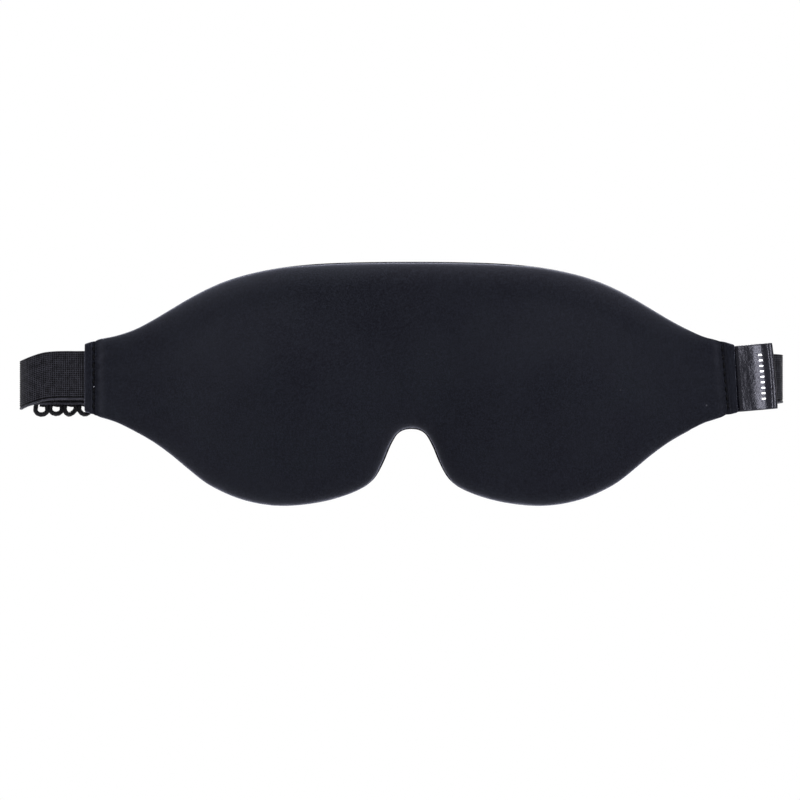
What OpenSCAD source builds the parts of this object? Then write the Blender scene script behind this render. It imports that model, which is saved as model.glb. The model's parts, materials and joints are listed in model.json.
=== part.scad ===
// Contoured sleep eye mask with a two-part elastic head strap.
// Row frame: +Z towards the forehead, -Y out of the mask's face, +X to the right of somebody who
// looks at that face. The origin is where the back of the nose bridge rests on the wearer.
// Units are millimetres.

/* [Mask body] */
// Length of each wing's foam panels, from the middle of the mask to the hem
half_len = 116; // [110:1:120]
// How far the wing tips sweep back round the face
sweep = 12; // [0:1:16]
// Half the thickness of the pressed edge where the two panels meet
rim_half = 1.6; // [1.2:0.1:2]
// Height that the front rises from its edge, before the eye domes
front_rise = 6.5; // [5:0.5:8]
// Extra height of each eye dome
dome_rise = 7; // [5:0.5:9]
// Thickness of the padded ring that rests on the face
pad_rise = 5.4; // [4:0.2:7]
// Depth of each eye cavity below the padded ring
cavity_depth = 15; // [12:0.5:16]
// Distance from the middle of the mask to the middle of an eye cavity
eye_x = 41; // [38:0.5:44]
// Thickness of the knitted fabric on each side
fabric_t = 0.6; // [0.4:0.1:0.8]

/* [Strap] */
// Width of the elastic webbing
strap_w = 18; // [15:1:20]
// Thickness of the elastic webbing
strap_t = 1.2; // [0.8:0.1:1.4]
// Distance from the middle of the mask to the outside of the left fold
left_reach = 145; // [140:1:150]
// Distance from the middle of the mask to the outside of the right fold
right_reach = 137.5; // [134:0.5:142]
// How far the rear strap bows away from the mask at its middle
bow = 10; // [6:1:14]

/* [Closure] */
// Number of cord loops along the tape
loop_count = 13; // [10:1:13]
// Distance from one cord loop to the next
loop_pitch = 5.4; // [5.2:0.1:5.6]
// Diameter of the loop cord
cord_d = 1.2; // [1:0.1:1.3]
// The loop that holds the hook, counted from 0 at the left fold
hooked_loop = 12; // [6:1:12]

/* [Label] */
// How far the folded label stands out of the hem
label_len = 13; // [10:1:15]
// Width of the label, along the hem
label_w = 24; // [20:1:25]

/* [Hidden] */
$fn = 32;

// ---- Outline of the mask: half of it, as [x, z], for the upper and the lower edge ----
upper_edge = [
    [0, 42.2], [24, 41.9], [40, 41], [54, 39], [67, 35.6], [78, 30.8],
    [89, 24.5], [100, 18.2], [109, 15], [120, 13]
];
lower_edge = [
    [0, -18.6], [4, -19.5], [6.5, -22], [9, -27.2], [11, -32], [13.4, -36.2],
    [17, -39.6], [24, -42.9], [34, -45.6], [46, -46.9], [56, -46.1], [66, -43.3],
    [76, -38.2], [84, -31.8], [92, -25.4], [101, -20], [110, -15.7], [120, -12.9]
];

// Cubic through the points of an edge. The slope is level at x = 0, where the two halves meet.
function slope_at(p, i) =
    i == 0 ? 0 :
    i == len(p) - 1 ? (p[i][1] - p[i - 1][1]) / (p[i][0] - p[i - 1][0]) :
    (p[i + 1][1] - p[i - 1][1]) / (p[i + 1][0] - p[i - 1][0]);
function segment(p, x, i = 0) = (i >= len(p) - 2 || x <= p[i + 1][0]) ? i : segment(p, x, i + 1);
function hermite(a, b, ma, mb, w, t) =
    a * (2 * pow(t, 3) - 3 * pow(t, 2) + 1) + ma * w * (pow(t, 3) - 2 * pow(t, 2) + t)
    + b * (3 * pow(t, 2) - 2 * pow(t, 3)) + mb * w * (pow(t, 3) - pow(t, 2));
function edge_z(p, x) =
    let (u = abs(x), i = segment(p, u), w = p[i + 1][0] - p[i][0])
    hermite(p[i][1], p[i + 1][1], slope_at(p, i), slope_at(p, i + 1), w, (u - p[i][0]) / w);
slope_step = 0.5;
function edge_slope(p, x) = (edge_z(p, x + slope_step) - edge_z(p, x - slope_step)) / (2 * slope_step);

// ---- Surfaces of the mask, as y for a point [x, z] ----
function clamp01(t) = min(max(t, 0), 1);
function smooth(t) = let (c = clamp01(t)) c * c * (3 - 2 * c);
function mix(a, b, t) = a + (b - a) * t;
function bell(x, z, cx, cz, rx, rz) = exp(-pow((x - cx) / rx, 2) - pow((z - cz) / rz, 2));

// The plane where the two panels are pressed together, swept back towards the wing tips
function seam_y(x) = sweep * pow(x / 120, 2) - rim_half - pad_rise;
function seam_angle(x) = atan(2 * sweep * x / pow(120, 2));

// 0 at the edge, 1 from r inside it, as a quarter of an ellipse
function rounding(d, r) = sqrt(1 - pow(1 - clamp01(d / r), 2));
function crown(x, z, r) =
    rounding((edge_z(upper_edge, x) - z) / sqrt(1 + pow(edge_slope(upper_edge, x), 2)), r)
    * rounding((z - edge_z(lower_edge, x)) / sqrt(1 + pow(edge_slope(lower_edge, x), 2)), r);

wing_start = 66; // the panels thin out from here to the hem
wing_rise = 0.8; // what is left of the crown there
function thinning(x) = smooth((abs(x) - wing_start) / (half_len - wing_start));

dome_x = 50;
dome_z = -4;
dome_rx = 31;
dome_rz = 27;
front_round = 10;
function front_y(x, z) =
    let (crowned = mix(front_rise, wing_rise, thinning(x)),
         dome = dome_rise * bell(abs(x), z, dome_x, dome_z, dome_rx, dome_rz))
    seam_y(x) - rim_half - (crowned + dome) * crown(x, z, front_round);

eye_z = -4;
eye_rx = 27;
eye_rz = 22;
cavity_wall = 0.62; // share of the cavity's radius that its sloping wall takes
pad_round = 8;
function cavity(x, z) =
    smooth((1 - sqrt(pow((abs(x) - eye_x) / eye_rx, 2) + pow((z - eye_z) / eye_rz, 2))) / cavity_wall);
function back_y(x, z) =
    let (padded = mix(pad_rise, wing_rise, thinning(x)))
    seam_y(x) + rim_half + padded * crown(x, z, pad_round) - cavity_depth * cavity(x, z);

// The layers, from the outside of the front (0) to the skin side (4)
function layer_y(k, x, z) =
    k == 0 ? front_y(x, z) :
    k == 1 ? front_y(x, z) + fabric_t :
    k == 2 ? (front_y(x, z) + back_y(x, z)) / 2 :
    k == 3 ? back_y(x, z) - fabric_t :
    back_y(x, z);

// ---- A panel between two layers, on a grid that follows the outline ----
columns = 26; // on each half
rows = 10;
nose_share = 0.35; // how evenly the columns are spread: below 1 they crowd towards the nose
function column_x(i) = let (t = abs(i) / columns) sign(i) * half_len * t * (nose_share + (1 - nose_share) * t);
function row_z(x, j) = mix(edge_z(lower_edge, x), edge_z(upper_edge, x), (1 - cos(180 * j / rows)) / 2);
module panel(outer, inner) {
    wide = 2 * columns + 1;
    tall = rows + 1;
    points = [
        for (k = [outer, inner], i = [-columns:columns], j = [0:rows])
            let (x = column_x(i), z = row_z(x, j)) [x, layer_y(k, x, z), z]
    ];
    function at(side, i, j) = side * wide * tall + i * tall + j;
    polyhedron(points, concat(
        [for (i = [0:wide - 2], j = [0:tall - 2]) each [
            [at(0, i, j), at(0, i, j + 1), at(0, i + 1, j + 1)], [at(0, i, j), at(0, i + 1, j + 1), at(0, i + 1, j)],
            [at(1, i, j), at(1, i + 1, j + 1), at(1, i, j + 1)], [at(1, i, j), at(1, i + 1, j), at(1, i + 1, j + 1)]
        ]],
        [for (i = [0:wide - 2]) each [
            [at(0, i, 0), at(0, i + 1, 0), at(1, i + 1, 0)], [at(0, i, 0), at(1, i + 1, 0), at(1, i, 0)],
            [at(0, i, tall - 1), at(1, i + 1, tall - 1), at(0, i + 1, tall - 1)],
            [at(0, i, tall - 1), at(1, i, tall - 1), at(1, i + 1, tall - 1)]
        ]],
        [for (j = [0:tall - 2]) each [
            [at(0, 0, j), at(1, 0, j + 1), at(0, 0, j + 1)], [at(0, 0, j), at(1, 0, j), at(1, 0, j + 1)],
            [at(0, wide - 1, j), at(0, wide - 1, j + 1), at(1, wide - 1, j + 1)],
            [at(0, wide - 1, j), at(1, wide - 1, j + 1), at(1, wide - 1, j)]
        ]]
    ));
}
module front_fabric() { color("#1c1d24") panel(0, 1); }
module front_foam() { color("#2a2a30") panel(1, 2); }
module back_foam() { color("#303036") panel(2, 3); }
module back_fabric() { color("#18191f") panel(3, 4); }

// ---- Bands: a flat strip of webbing along a path of [x, y, z of its middle] ----
function unit(v) = v / norm(v);
function heading(path, i) =
    let (a = path[max(i - 1, 0)], b = path[min(i + 1, len(path) - 1)]) unit([b[0] - a[0], b[1] - a[1], 0]);
module band(path, tall, thick) {
    n = len(path);
    points = [
        for (i = [0:n - 1])
            let (h = heading(path, i), side = [-h[1], h[0], 0] * thick / 2, up = [0, 0, tall / 2])
            each [path[i] - side - up, path[i] + side - up, path[i] + side + up, path[i] - side + up]
    ];
    polyhedron(points, concat(
        [[0, 2, 1], [0, 3, 2]],
        [for (i = [0:n - 2], s = [0:3]) let (a = 4 * i + s, b = 4 * i + (s + 1) % 4) each [[a, b, b + 4], [a, b + 4, a + 4]]],
        [[4 * n - 4, 4 * n - 3, 4 * n - 2], [4 * n - 4, 4 * n - 2, 4 * n - 1]]
    ));
}

// ---- The edge seam: a thin bead round the pressed edge ----
seam_r = 0.5;
seam_gap = 0.2;
module bead(edge, out) {
    sides = 8;
    path = [for (i = [-columns:columns]) let (x = column_x(i)) [x, seam_y(x), edge_z(edge, x)]];
    n = len(path);
    function outward(i) =
        let (a = path[max(i - 1, 0)], b = path[min(i + 1, n - 1)]) out * unit([a[2] - b[2], 0, b[0] - a[0]]);
    points = [
        for (i = [0:n - 1], s = [0:sides - 1])
            let (o = outward(i), a = 360 * s / sides)
            path[i] + o * (seam_r + seam_gap) + seam_r * (cos(a) * o + sin(a) * [0, 1, 0])
    ];
    function at(i, s) = i * sides + s % sides;
    faces = concat(
        [for (s = [1:sides - 2]) [0, s, s + 1]],
        [for (i = [0:n - 2], s = [0:sides - 1]) each [
            [at(i, s), at(i + 1, s + 1), at(i, s + 1)], [at(i, s), at(i + 1, s), at(i + 1, s + 1)]
        ]],
        [for (s = [1:sides - 2]) [at(n - 1, 0), at(n - 1, s + 1), at(n - 1, s)]]
    );
    polyhedron(points, out > 0 ? faces : [for (f = faces) [f[2], f[1], f[0]]]);
}
module edge_seam() {
    color("#101014") {
        bead(upper_edge, 1);
        bead(lower_edge, -1);
    }
}

// ---- Hems: the folded tabs that close the wing tips over the strap ----
hem_x = half_len + 0.6;
hem_depth = 3.8;
hem_h = 25.4;
hem_flap = 1.3;
hem_fold = 0.4; // where the two flaps join, ahead of the strap's end
slot_half = 0.66;
right_tilt = 5; // the right-hand tab is sewn slightly askew
// Puts its children at the start of a hem, with x along the wing, y through it and z up
module at_hem(side) {
    mirror([side < 0 ? 1 : 0, 0, 0])
        translate([hem_x, seam_y(hem_x), 0]) rotate([0, 0, seam_angle(hem_x)]) children();
}
module hem(tilt) {
    slant = hem_h / 2 * tan(tilt);
    translate([0, -slot_half - hem_flap, -hem_h / 2]) cube([hem_fold, 2 * (slot_half + hem_flap), hem_h]);
    for (side = [-1, 1])
        rotate([90, 0, 0])
            translate([0, 0, side > 0 ? slot_half : -slot_half - hem_flap])
                linear_extrude(hem_flap)
                    polygon([
                        [0, -hem_h / 2], [hem_depth + slant, -hem_h / 2], [hem_depth - slant, hem_h / 2], [0, hem_h / 2]
                    ]);
}
module left_hem() { color("#17171f") at_hem(-1) hem(0); }
module right_hem() { color("#17171f") at_hem(1) hem(right_tilt); }

// Stitches: short lengths of thread, in a row up the tab
thread_r = 0.2;
stitch_len = 2.2;
stitch_pitch = 3;
module stitch(axis) { rotate(axis) cylinder(r = thread_r, h = stitch_len, center = true); }
hem_stitches = 8;
module hem_stitches(side, tilt) {
    out = slot_half + hem_flap + thread_r + 0.02;
    at_hem(side)
        for (i = [0:hem_stitches - 1])
            let (z = (i - (hem_stitches - 1) / 2) * stitch_pitch)
            translate([0.9 - z * tan(tilt) / 2, -out, z]) stitch([0, 0, 0]);
}
module left_hem_stitches() { color("#26262e") hem_stitches(-1, 0); }
module right_hem_stitches() { color("#26262e") hem_stitches(1, right_tilt); }

// ---- Strap paths, seen from above ----
fold_r = 6.5;
fold_steps = 14;
side_z = [0.8, 0]; // height of the strap at the left and the right hem
fold_dip = [-2.8, -0.6]; // height at the outside of each fold
rear_z = -1;
strap_start = hem_x + 0.6;
function wing_a() = seam_angle(hem_x);
function reach(s) = (s == 0 ? left_reach : right_reach) - strap_t / 2;
function arc_centre(s) =
    let (cx = reach(s) - fold_r, ax = cx + fold_r * sin(wing_a()),
         ay = seam_y(hem_x) + tan(wing_a()) * (ax - hem_x))
    [cx, ay + fold_r * cos(wing_a())];
// The rear strap runs straight in from each fold, and bends round in the middle
bend_half = 50;
function rear_half() = (reach(0) + reach(1)) / 2 - fold_r;
function rear_m() = bow / (rear_half() - bend_half / 2);
function rear_a() = atan(rear_m());
function fold_end(s) = arc_centre(s) + fold_r * [sin(rear_a()), cos(rear_a())];
function rear_x0() = -fold_end(0)[0];
function rear_x1() = fold_end(1)[0];
function rear_lean() = (fold_end(1)[1] - fold_end(0)[1]) / (rear_x1() - rear_x0());
function rear_u(x) = x - (rear_x0() + rear_x1()) / 2;
function rear_bow(u) =
    abs(u) > bend_half ? (rear_half() - abs(u)) * rear_m()
    : (rear_half() - bend_half) * rear_m() + (pow(bend_half, 2) - pow(u, 2)) * rear_m() / (2 * bend_half);
function rear_y(x) = fold_end(0)[1] + rear_lean() * (x - rear_x0()) + rear_bow(rear_u(x));
function rear_slope(x) = rear_lean() - rear_m() * min(max(rear_u(x) / bend_half, -1), 1);
function fold_z(s, a) =
    a < 90 ? mix(side_z[s], fold_dip[s], smooth((a - wing_a()) / (90 - wing_a())))
    : mix(fold_dip[s], rear_z, smooth((a - 90) / (90 - rear_a())));
// From the hem, out along the wing and round the fold. s is 0 for the left and 1 for the right.
function side_path(s) =
    let (c = arc_centre(s), out = s == 0 ? -1 : 1)
    concat(
        [for (t = [0:0.25:0.75]) let (x = mix(strap_start, c[0] + fold_r * sin(wing_a()), t))
            [out * x, seam_y(hem_x) + tan(wing_a()) * (x - hem_x), side_z[s]]],
        [for (i = [0:fold_steps]) let (a = mix(wing_a(), 180 - rear_a(), i / fold_steps))
            [out * (c[0] + fold_r * sin(a)), c[1] - fold_r * cos(a), fold_z(s, a)]]
    );
function rear_path(x0, x1, step, off = 0, z = rear_z) =
    let (n = ceil(abs(x1 - x0) / step))
    [for (i = [0:n]) let (x = mix(x0, x1, i / n), m = rear_slope(x)) [x - off * m, rear_y(x) + off, z]];

module left_elastic_side() { color("#242628") band(side_path(0), strap_w, strap_t); }
module right_elastic_side() { color("#242628") band(side_path(1), strap_w, strap_t); }

rear_step = 6;
fold_gap = 0.1; // between the end of each fold and the rear strap
left_end_x = -62;
module left_elastic_rear() {
    color("#242628") band(rear_path(rear_x0() + fold_gap, left_end_x, rear_step), strap_w, strap_t);
}

// ---- Loop tape: a braid on the outside of the left strap, with a row of cord loops below it ----
tape_w = 9;
tape_t = 0.7;
tape_off = (strap_t + tape_t) / 2;
tape_z = rear_z - strap_w / 2 + tape_w / 2;
tape_end = 1.4; // how far it runs past the first and the last loop
loop_x0 = rear_x0() + tape_end + 0.1;
function loop_x(k) = loop_x0 + k * loop_pitch * cos(rear_a());
module loop_tape() {
    color("#1b1c1e")
        band(rear_path(loop_x(0) - tape_end, loop_x(loop_count - 1) + tape_end, rear_step, tape_off, tape_z),
            tape_w, tape_t);
}
// Puts its children on the rear strap at x, with x along the strap and y away from the mask
module on_rear(x) { translate([x, rear_y(x), 0]) rotate([0, 0, atan(rear_slope(x))]) children(); }
loop_drop = 4.6;
loop_bend_r = 2.1;
loop_leg = loop_drop - loop_bend_r - cord_d / 2;
loop_top = rear_z - strap_w / 2;
module cord_loop() {
    translate([0, tape_off, loop_top - loop_leg]) {
        for (side = [-1, 1]) translate([side * loop_bend_r, 0, 0]) cylinder(d = cord_d, h = loop_leg, $fn = 16);
        rotate([90, 0, 0]) rotate_extrude(angle = -180, $fn = 24)
            translate([loop_bend_r, 0]) circle(d = cord_d, $fn = 16);
    }
}
module adjust_loops() {
    color("#121214") for (k = [0:loop_count - 1]) on_rear(loop_x(k)) cord_loop();
}
tape_rows = [1.5, tape_w - 1.5];
module tape_stitches() {
    color("#2c2d30")
        for (k = [0:loop_count - 1], up = tape_rows)
            on_rear(loop_x(k))
                translate([0, tape_off + tape_t / 2 + thread_r + 0.03, loop_top + up]) stitch([0, 90, 0]);
}

// ---- Right strap: it laps over the outside of the left one and ends in the hook ----
lap = 2.6; // how far outside the left strap it runs there
lap_x = [-10, 55]; // where it comes in from there to the strap's own line
take_up_x = 60;
bar_ahead = 12.2; // the hook's bar is this far along the strap from the loop that it holds
sleeve_len = 17;
hook_x = loop_x(hooked_loop);
bar_off = lap + 1.6;
function lap_off(x) = lap * (1 - smooth((x - lap_x[0]) / (lap_x[1] - lap_x[0])));
function lapped_path(x0, x1, step) =
    let (n = ceil(abs(x1 - x0) / step))
    [for (i = [0:n]) let (x = mix(x0, x1, i / n)) [x, rear_y(x) + lap_off(x), rear_z]];
sleeve_x = hook_x + bar_ahead + sleeve_len;
module right_elastic_rear() {
    color("#242628") band(rear_path(rear_x1() - fold_gap, take_up_x, rear_step), strap_w, strap_t);
}
module right_elastic_take_up() { color("#242628") band(lapped_path(take_up_x, sleeve_x, 3), strap_w, strap_t); }

// The end of the right strap turns round the hook's bar and is sewn back on itself
bar_r = 0.9;
turn_r = bar_off - lap;
function sleeve_path() =
    let (flat = lap + strap_t + 0.05)
    concat(
        [for (t = [0:0.25:0.75]) [mix(sleeve_len, 0, t), lap, rear_z]],
        [for (a = [0:22.5:180]) [-turn_r * sin(a), bar_off - turn_r * cos(a), rear_z]],
        [for (t = [0.25:0.25:1]) [mix(0, 9, t), mix(bar_off + turn_r, flat, smooth(t)), rear_z]],
        [[sleeve_len - 1, flat, rear_z]]
    );
function rear_point(x, p) =
    let (a = atan(rear_slope(x)))
    [x + p[0] * cos(a) - p[1] * sin(a), rear_y(x) + p[0] * sin(a) + p[1] * cos(a), p[2]];
module strap_end_sleeve() {
    color("#242628") on_rear(hook_x) translate([bar_ahead, 0, 0]) band(sleeve_path(), strap_w, strap_t);
}
module sleeve_stitches() {
    surface = lap + 1.5 * strap_t + 0.05 + thread_r + 0.03;
    color("#2c2d30")
        on_rear(hook_x) translate([bar_ahead, surface, rear_z]) {
            for (i = [-2:2], x = [10.5, 14.5]) translate([x, 0, i * stitch_pitch]) stitch([0, 0, 0]);
        }
}

// ---- Hook: a flat moulding with a round bar, and a curved peg that goes through a loop ----
hook_t = 1.7;
hook_h = 24;
slot_h = strap_w + 1;
plate_x = [-8.8, -3.2]; // from the bar's axis
peg_r = 0.75;
peg_z = loop_top - loop_leg + 0.2;
peg_arc = 27;
module plate(x0, x1, z0, z1) {
    translate([x0, -hook_t / 2, z0]) cube([x1 - x0, hook_t, z1 - z0]);
}
module hook() {
    reach_x = norm([bar_ahead, bar_off - tape_off]); // so that the peg's arc meets the middle of its loop
    color("#0d0d10")
        on_rear(hook_x) translate([bar_ahead, bar_off, 0]) {
            translate([0, 0, rear_z - hook_h / 2]) cylinder(r = bar_r, h = hook_h);
            plate(plate_x[0], plate_x[1], rear_z - hook_h / 2, rear_z + hook_h / 2);
            for (side = [-1, 1]) {
                z = rear_z + side * (hook_h / 2 + slot_h / 2) / 2;
                plate(plate_x[1] - 0.5, 0, z - (hook_h - slot_h) / 4, z + (hook_h - slot_h) / 4);
            }
            plate(-reach_x - 1.6, plate_x[0] + 0.5, peg_z - 1.5, peg_z + 1.5);
            translate([0, 0, peg_z]) rotate([0, 0, 180])
                rotate_extrude(angle = peg_arc) translate([reach_x, 0]) circle(r = peg_r);
        }
}

// ---- Label: a folded strip whose two ends are sewn into the right hem ----
label_t = 0.3;
label_bend = 0.7;
label_root = 0.5;
label_x = hem_depth + label_root;
label_y = -slot_half - hem_flap - 0.1;
function label_path() =
    let (front = -label_bend, flat = label_len - label_root - label_bend)
    concat(
        [for (t = [0:0.2:1]) [mix(0, flat, t), mix(-0.2, front, smooth(t * 2)), 0]],
        [for (a = [30:30:150]) [flat + label_bend * sin(a), -label_bend * cos(a), 0]],
        [for (t = [1:-0.2:0]) [mix(0, flat, t), mix(0.2, label_bend, smooth(t * 2)), 0]]
    );
// Puts its children at the label's root, turned as the hem is
module at_label() { at_hem(1) translate([label_x, label_y, 0]) rotate([0, -right_tilt, 0]) children(); }
module label() { color("#121217") at_label() band(label_path(), label_w, label_t); }

// A plain row of short bars stands for the printed mark
mark_count = 9;
mark_pitch = 2;
mark_size = [1.3, 0.7];
module label_print() {
    color("#d9d9de")
        at_label()
            for (i = [0:mark_count - 1])
                translate([7.6 - mark_size[0] / 2, -label_bend - label_t / 2 - 0.1,
                    (i - (mark_count - 1) / 2) * mark_pitch - mark_size[1] / 2])
                    cube([mark_size[0], 0.08, mark_size[1]]);
}

front_fabric();
front_foam();
back_foam();
back_fabric();
edge_seam();
left_hem();
right_hem();
left_hem_stitches();
right_hem_stitches();
left_elastic_side();
right_elastic_side();
left_elastic_rear();
loop_tape();
adjust_loops();
tape_stitches();
right_elastic_rear();
right_elastic_take_up();
strap_end_sleeve();
sleeve_stitches();
hook();
label();
label_print();
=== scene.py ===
"""Sleep eye mask: its looks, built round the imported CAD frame.

Everything is in metres in the row frame: +Z up, -Y out of the mask's face, +X to the viewer's right.
The outline, the seam's depth and the strap's line are read from the CAD nodes.
"""
import json
import math
import random

import bpy
import numpy as np
from mathutils import Matrix, Vector, noise


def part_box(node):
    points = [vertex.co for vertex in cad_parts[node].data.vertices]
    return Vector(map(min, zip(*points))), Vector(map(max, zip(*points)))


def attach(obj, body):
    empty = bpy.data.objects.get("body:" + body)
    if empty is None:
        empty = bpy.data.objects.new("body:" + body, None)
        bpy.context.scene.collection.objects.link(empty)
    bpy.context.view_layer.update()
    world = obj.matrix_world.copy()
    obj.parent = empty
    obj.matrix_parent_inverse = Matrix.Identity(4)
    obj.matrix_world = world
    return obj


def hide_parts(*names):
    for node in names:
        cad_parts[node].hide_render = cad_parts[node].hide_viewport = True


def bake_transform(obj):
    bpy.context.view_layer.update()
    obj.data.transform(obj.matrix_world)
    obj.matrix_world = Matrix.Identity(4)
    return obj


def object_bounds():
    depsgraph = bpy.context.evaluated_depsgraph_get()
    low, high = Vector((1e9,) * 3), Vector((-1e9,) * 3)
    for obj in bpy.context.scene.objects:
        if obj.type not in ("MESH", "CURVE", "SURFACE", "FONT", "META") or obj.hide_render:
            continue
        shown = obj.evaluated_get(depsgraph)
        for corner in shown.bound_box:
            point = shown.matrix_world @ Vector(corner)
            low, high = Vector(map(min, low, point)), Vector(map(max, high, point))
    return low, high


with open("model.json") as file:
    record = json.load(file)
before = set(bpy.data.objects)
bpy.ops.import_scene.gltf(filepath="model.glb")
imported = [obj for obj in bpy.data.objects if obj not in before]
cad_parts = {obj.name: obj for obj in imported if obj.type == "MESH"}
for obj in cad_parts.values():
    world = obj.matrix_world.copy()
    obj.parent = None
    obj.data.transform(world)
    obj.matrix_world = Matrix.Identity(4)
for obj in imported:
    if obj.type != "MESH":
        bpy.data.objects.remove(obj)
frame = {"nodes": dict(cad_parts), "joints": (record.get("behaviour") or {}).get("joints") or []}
cad_box = [list(corner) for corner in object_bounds()]
joints = {j["name"]: j for j in frame["joints"]}
MM = 0.001
random.seed(7)


# ---------------------------------------------------------------- small maths
def smooth(t):
    t = np.clip(t, 0, 1)
    return t * t * (3 - 2 * t)


def mix(a, b, t):
    return a + (b - a) * t


def rounding(d, r):
    """0 at an edge, 1 from r inside it, as a quarter of an ellipse."""
    return np.sqrt(1 - (1 - np.clip(d / r, 0, 1)) ** 2)


def unit(v):
    return v / np.maximum(np.linalg.norm(v, axis=-1, keepdims=True), 1e-12)


class Curve:
    """A smooth line through points, as y against x. Past its ends it goes on straight."""

    def __init__(self, xs, ys):
        self.xs, self.ys = np.array(xs, float), np.array(ys, float)
        self.slopes = np.gradient(self.ys, self.xs)

    def __call__(self, x):
        x = np.asarray(x, float)
        i = np.clip(np.searchsorted(self.xs, x) - 1, 0, len(self.xs) - 2)
        w = self.xs[i + 1] - self.xs[i]
        t = (x - self.xs[i]) / w
        c = np.clip(t, 0, 1)
        inside = (
            self.ys[i] * (2 * c**3 - 3 * c**2 + 1)
            + self.slopes[i] * w * (c**3 - 2 * c**2 + c)
            + self.ys[i + 1] * (3 * c**2 - 2 * c**3)
            + self.slopes[i + 1] * w * (c**3 - c**2)
        )
        return inside + (t - c) * w * np.where(t > c, self.slopes[i + 1], self.slopes[i])

    def slope(self, x, step=0.2 * MM):
        return (self(np.asarray(x) + step) - self(np.asarray(x) - step)) / (2 * step)


def bumps(points, scale, seed=0.0):
    """Smooth noise from -1 to 1 at each point; scale is the size of a bump."""
    return np.array([noise.noise(Vector(p) / scale + Vector((seed, 0, 0))) for p in points])


# ---------------------------------------------------------------- meshes
def make_mesh(name, points, faces, body=None, uvs=None, flat=False):
    """A mesh piece from points and faces. uvs holds one pair of metres for each point."""
    mesh = bpy.data.meshes.new(name)
    mesh.from_pydata([tuple(p) for p in points], [], [tuple(f) for f in faces])
    mesh.update()
    if uvs is not None:
        layer = mesh.uv_layers.new(name="cloth")
        for loop in mesh.loops:
            layer.data[loop.index].uv = uvs[loop.vertex_index]
    if not flat:
        mesh.shade_smooth()
    obj = bpy.data.objects.new(name, mesh)
    bpy.context.scene.collection.objects.link(obj)
    if body:
        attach(obj, body)
    return obj


def grid_faces(rows, columns, start=0, closed=False, flip=False):
    """Quads between neighbouring points of a grid that is stored row by row."""
    faces = []
    for r in range(rows - 1):
        for c in range(columns if closed else columns - 1):
            a, b = start + r * columns + c, start + r * columns + (c + 1) % columns
            quad = (a, b, b + columns, a + columns)
            faces.append(quad[::-1] if flip else quad)
    return faces


def ring_tube(rings):
    """Points and faces of a closed tube through rings of equal length."""
    rings = np.asarray(rings)
    count, sides = rings.shape[:2]
    faces = grid_faces(count, sides, closed=True)
    faces.append(tuple(range(sides))[::-1])
    faces.append(tuple((count - 1) * sides + i for i in range(sides)))
    return rings.reshape(-1, 3), faces


def add_modifier(obj, kind, **settings):
    modifier = obj.modifiers.new(kind.title(), kind)
    for key, value in settings.items():
        setattr(modifier, key, value)
    return modifier


def join(parts):
    """Several (points, faces) as one."""
    points, faces, base = [], [], 0
    for more, its_faces in parts:
        points.extend(more)
        faces.extend(tuple(i + base for i in f) for f in its_faces)
        base += len(more)
    return points, faces


# ---------------------------------------------------------------- what the CAD model says
def node_points(name):
    co = np.array([v.co for v in frame["nodes"][name].data.vertices], float)
    return np.unique(co.round(7), axis=0)


def panel_curves():
    """The mask's upper edge, lower edge and seam depth against x."""
    front, back = node_points("front_fabric"), node_points("back_fabric")
    xs = np.unique(front[:, 0].round(5))
    upper, lower, seam = [], [], []
    for x in xs:
        near = front[np.abs(front[:, 0] - x) < 0.02 * MM]
        behind = back[np.abs(back[:, 0] - x) < 0.02 * MM]
        upper.append(near[:, 2].max())
        lower.append(near[:, 2].min())
        top_front = near[near[:, 2] > upper[-1] - 0.01 * MM]
        top_back = behind[behind[:, 2] > behind[:, 2].max() - 0.01 * MM]
        seam.append((top_front[:, 1].min() + top_back[:, 1].max()) / 2)
    return Curve(xs, upper), Curve(xs, lower), Curve(xs, seam)


def band_line(*names):
    """The middle of a strap's CAD solids, as y against x."""
    points = np.concatenate([node_points(n) for n in names])
    points = points[np.argsort(points[:, 0])]
    groups = np.split(points, np.where(np.diff(points[:, 0]) > 0.6 * MM)[0] + 1)
    middle = np.array([g.mean(0) for g in groups])
    return Curve(middle[:, 0], middle[:, 1])


upper_edge, lower_edge, seam_depth = panel_curves()
HALF_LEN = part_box("front_fabric")[1].x
STRAP_W, STRAP_T = 18 * MM, 1.2 * MM
WEAVE = 0.7 * MM  # pitch of the elastic's weave, both ways
SELVEDGE = 0.95 * MM

# ---------------------------------------------------------------- materials
BLACK, WHITE = (0, 0, 0), (1, 1, 1)


def node_material(name, colour, rough, **extra):
    material = bpy.data.materials.new(name)
    material.use_nodes = True
    shader = material.node_tree.nodes["Principled BSDF"]
    shader.inputs["Base Color"].default_value = (*colour, 1)
    shader.inputs["Roughness"].default_value = rough
    for key, value in extra.items():
        shader.inputs[key.replace("_", " ")].default_value = value
    return material, material.node_tree, shader


def add_node(tree, kind, **settings):
    node = tree.nodes.new(kind)
    for key, value in settings.items():
        if key in node.inputs:
            node.inputs[key].default_value = value
        else:
            setattr(node, key, value)
    return node


def coordinates(tree, kind, scale=(1, 1, 1)):
    """Object (metres) or UV coordinates, scaled."""
    source = add_node(tree, "ShaderNodeTexCoord")
    mapping = add_node(tree, "ShaderNodeMapping")
    mapping.inputs["Scale"].default_value = scale
    tree.links.new(source.outputs[kind], mapping.inputs["Vector"])
    return mapping.outputs["Vector"]


def ramp(tree, value, low, high, colour_low, colour_high):
    node = add_node(tree, "ShaderNodeValToRGB")
    node.color_ramp.elements[0].position = low
    node.color_ramp.elements[1].position = high
    node.color_ramp.elements[0].color = (*colour_low, 1)
    node.color_ramp.elements[1].color = (*colour_high, 1)
    tree.links.new(value, node.inputs["Fac"])
    return node.outputs["Color"]


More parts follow.
